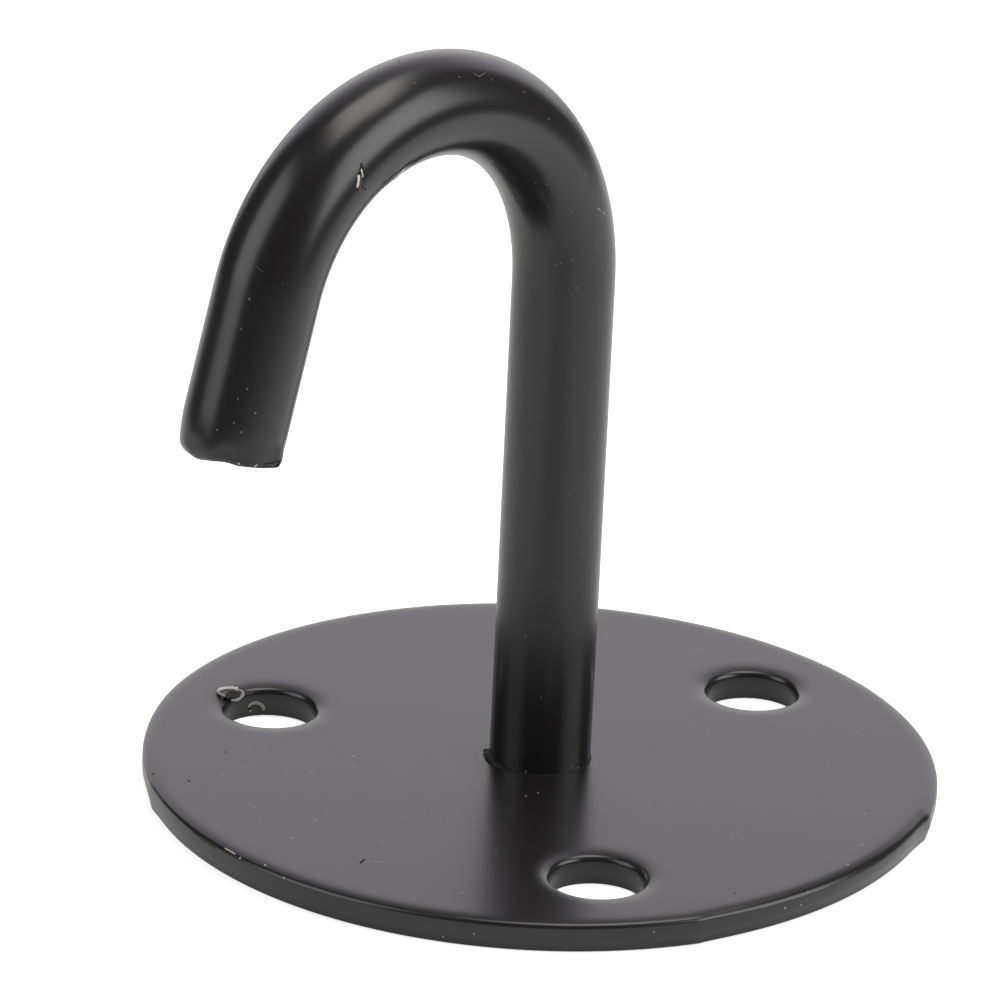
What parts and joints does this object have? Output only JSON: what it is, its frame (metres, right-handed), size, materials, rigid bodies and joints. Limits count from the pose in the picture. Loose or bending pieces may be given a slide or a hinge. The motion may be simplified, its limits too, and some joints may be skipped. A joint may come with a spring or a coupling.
{
  "type": "ceiling hook",
  "caption": "Round steel disc with three screw holes and a round bar welded through it, bent over into an open hook for hanging things from a ceiling.",
  "frame": {"origin": "centre of the disc's flat mounting face, on the stem's axis", "axes": "+Z out of the disc along the stem, -X towards the hook's tip, the hook's plane is XZ"},
  "size_m": [0.0915, 0.08, 0.0821],
  "materials": {
    "black_powder_coat": "satin black powder coat on steel"
  },
  "bodies": {
    "root": {"base_plate": "black_powder_coat", "hook_rod": "black_powder_coat", "back_weld": "black_powder_coat", "weld_collar": "black_powder_coat"}
  },
  "joints": []
}
